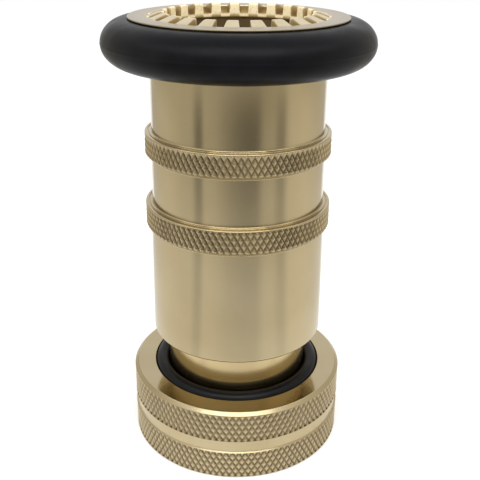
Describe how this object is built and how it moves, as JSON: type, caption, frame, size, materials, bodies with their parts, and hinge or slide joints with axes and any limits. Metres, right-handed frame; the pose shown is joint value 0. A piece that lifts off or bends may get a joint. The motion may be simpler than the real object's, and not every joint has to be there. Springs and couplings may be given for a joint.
{
  "type": "fire hose nozzle",
  "caption": "Brass twist-barrel hose nozzle with a knurled swivel coupling, rubber bumper and toothed fog tip; turns from shut-off to stream to fog.",
  "frame": {"origin": "centre of the coupling's open end, on the flow axis; the nozzle stands on that face", "axes": "+Z along the flow axis from the hose coupling to the water outlet; +Y is the side of the ball loading plug"},
  "size_m": [0.0746, 0.0746, 0.1282],
  "materials": {
    "brass_knurled": "satin, knurled",
    "brass_satin": "satin, fine turning marks",
    "brass_polished": "polished",
    "brass_machined": "machined",
    "brass_cast": "cast face, machined flange",
    "stainless": "machined",
    "ball_steel": "polished",
    "gasket_rubber": "matt",
    "black_rubber": "smooth",
    "bumper_rubber": "moulded, soft sheen"
  },
  "bodies": {
    "inlet": {"inlet_body": "brass_polished", "seal_head": "brass_machined", "spigot_seal": "black_rubber", "spider": "brass_machined", "stem": "stainless", "stem_nut": "stainless", "baffle": "brass_machined", "baffle_seal": "black_rubber", "baffle_washer": "stainless", "baffle_nut": "stainless", "head_ring_lower": "black_rubber", "head_ring_upper": "black_rubber"},
    "swivel": {"swivel_coupling": "brass_knurled", "inlet_gasket": "gasket_rubber", "dust_ring": "black_rubber", "race_plug": "brass_machined"},
    "ball_ring": {"swivel_balls": "ball_steel"},
    "wiper": {"barrel_wiper": "black_rubber"},
    "barrel": {"barrel": "brass_satin", "fog_tip": "brass_cast", "rubber_bumper": "bumper_rubber"}
  },
  "joints": [
    {"name": "coupling_swivel", "type": "hinge", "parent": "inlet", "child": "swivel", "pos_m": [0, 0, 0.01], "axis": [0, 0, 1], "continuous": true},
    {"name": "ball_roll", "type": "hinge", "parent": "inlet", "child": "ball_ring", "pos_m": [0, 0, 0.017], "axis": [0, 0, 1], "continuous": true},
    {"name": "barrel_travel", "type": "slide", "parent": "inlet", "child": "wiper", "axis": [0, 0, 1], "range_m": [-0.01, 0.002]},
    {"name": "barrel_turn", "type": "hinge", "parent": "wiper", "child": "barrel", "pos_m": [0, 0, 0.08], "axis": [0, 0, 1], "range_deg": [-300, 60]}
  ],
  "couplings": [
    {"joint": "ball_roll", "follows": "coupling_swivel", "ratio": 0.5},
    {"joint": "barrel_travel", "follows": "barrel_turn", "m_per_rad": 0.0019099}
  ]
}
